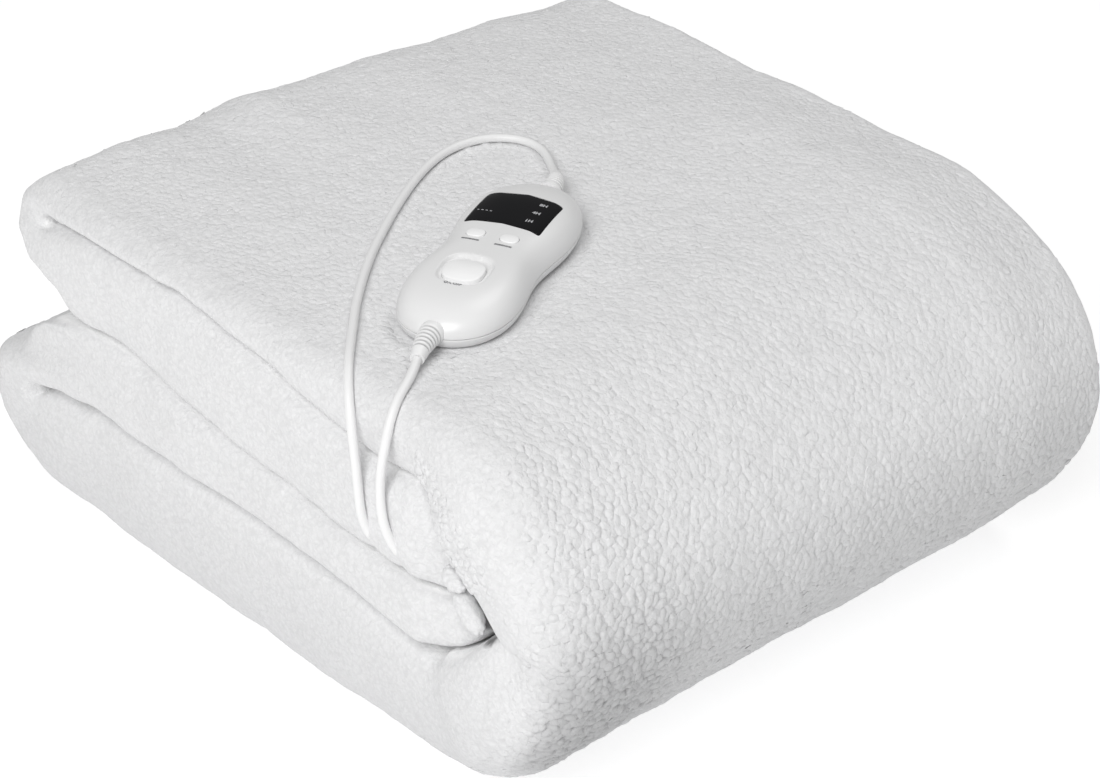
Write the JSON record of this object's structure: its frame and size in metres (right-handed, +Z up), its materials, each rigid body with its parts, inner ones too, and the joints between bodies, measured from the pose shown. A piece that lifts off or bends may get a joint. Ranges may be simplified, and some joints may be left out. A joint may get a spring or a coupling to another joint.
{
  "type": "electric heated blanket",
  "caption": "Sherpa fleece heated underblanket folded into a pack, with a hand controller, display, push-buttons, a blanket lead, and a mains lead coiled behind with a flat plug.",
  "frame": {"origin": "middle of the folded blanket's footprint, on the surface it stands on, measured without the cord, its coil and its plug", "axes": "+Z up out of the pack; Y along its longer side, with the big front turn at -Y and the closed backs of its packets at +Y; the long fold's loops at -X and the free edges at +X"},
  "size_m": [0.4786, 0.462, 0.2229],
  "materials": {
    "fleece": "white sherpa fleece with a short curly pile",
    "white_plastic": "white, smooth, softly glossy",
    "black_window": "black, glossy",
    "white_cord": "white flexible cord sheath, satin",
    "pin_metal": "nickel-plated, smooth",
    "tie_strap": "white woven hook-and-loop strap"
  },
  "bodies": {
    "pack": {"blanket": "fleece", "controller_base": "white_plastic", "controller_cover": "white_plastic", "display_window": "black_window", "mains_relief": "white_cord", "lead_relief": "white_cord", "blanket_lead": "white_cord", "lead_gland": "white_cord", "mains_lead": "white_cord", "mains_coil": "white_cord", "coil_tie": "tie_strap", "plug_tail": "white_cord", "plug_relief": "white_cord", "plug_body": "white_cord", "plug_pin_1": "pin_metal", "plug_pin_2": "pin_metal"},
    "left_button": {"button_left": "white_plastic"},
    "right_button": {"button_right": "white_plastic"},
    "power": {"power_button": "white_plastic"}
  },
  "joints": [
    {"name": "left_button_press", "type": "slide", "parent": "pack", "child": "left_button", "axis": [0.0156, 0.0195, -0.9997], "range_m": [0, 0.0008], "stiffness_N_per_m": 600},
    {"name": "right_button_press", "type": "slide", "parent": "pack", "child": "right_button", "axis": [0.0156, 0.0195, -0.9997], "range_m": [0, 0.0008], "stiffness_N_per_m": 600},
    {"name": "power_button_press", "type": "slide", "parent": "pack", "child": "power", "axis": [0.0156, 0.0195, -0.9997], "range_m": [0, 0.001], "stiffness_N_per_m": 600}
  ]
}
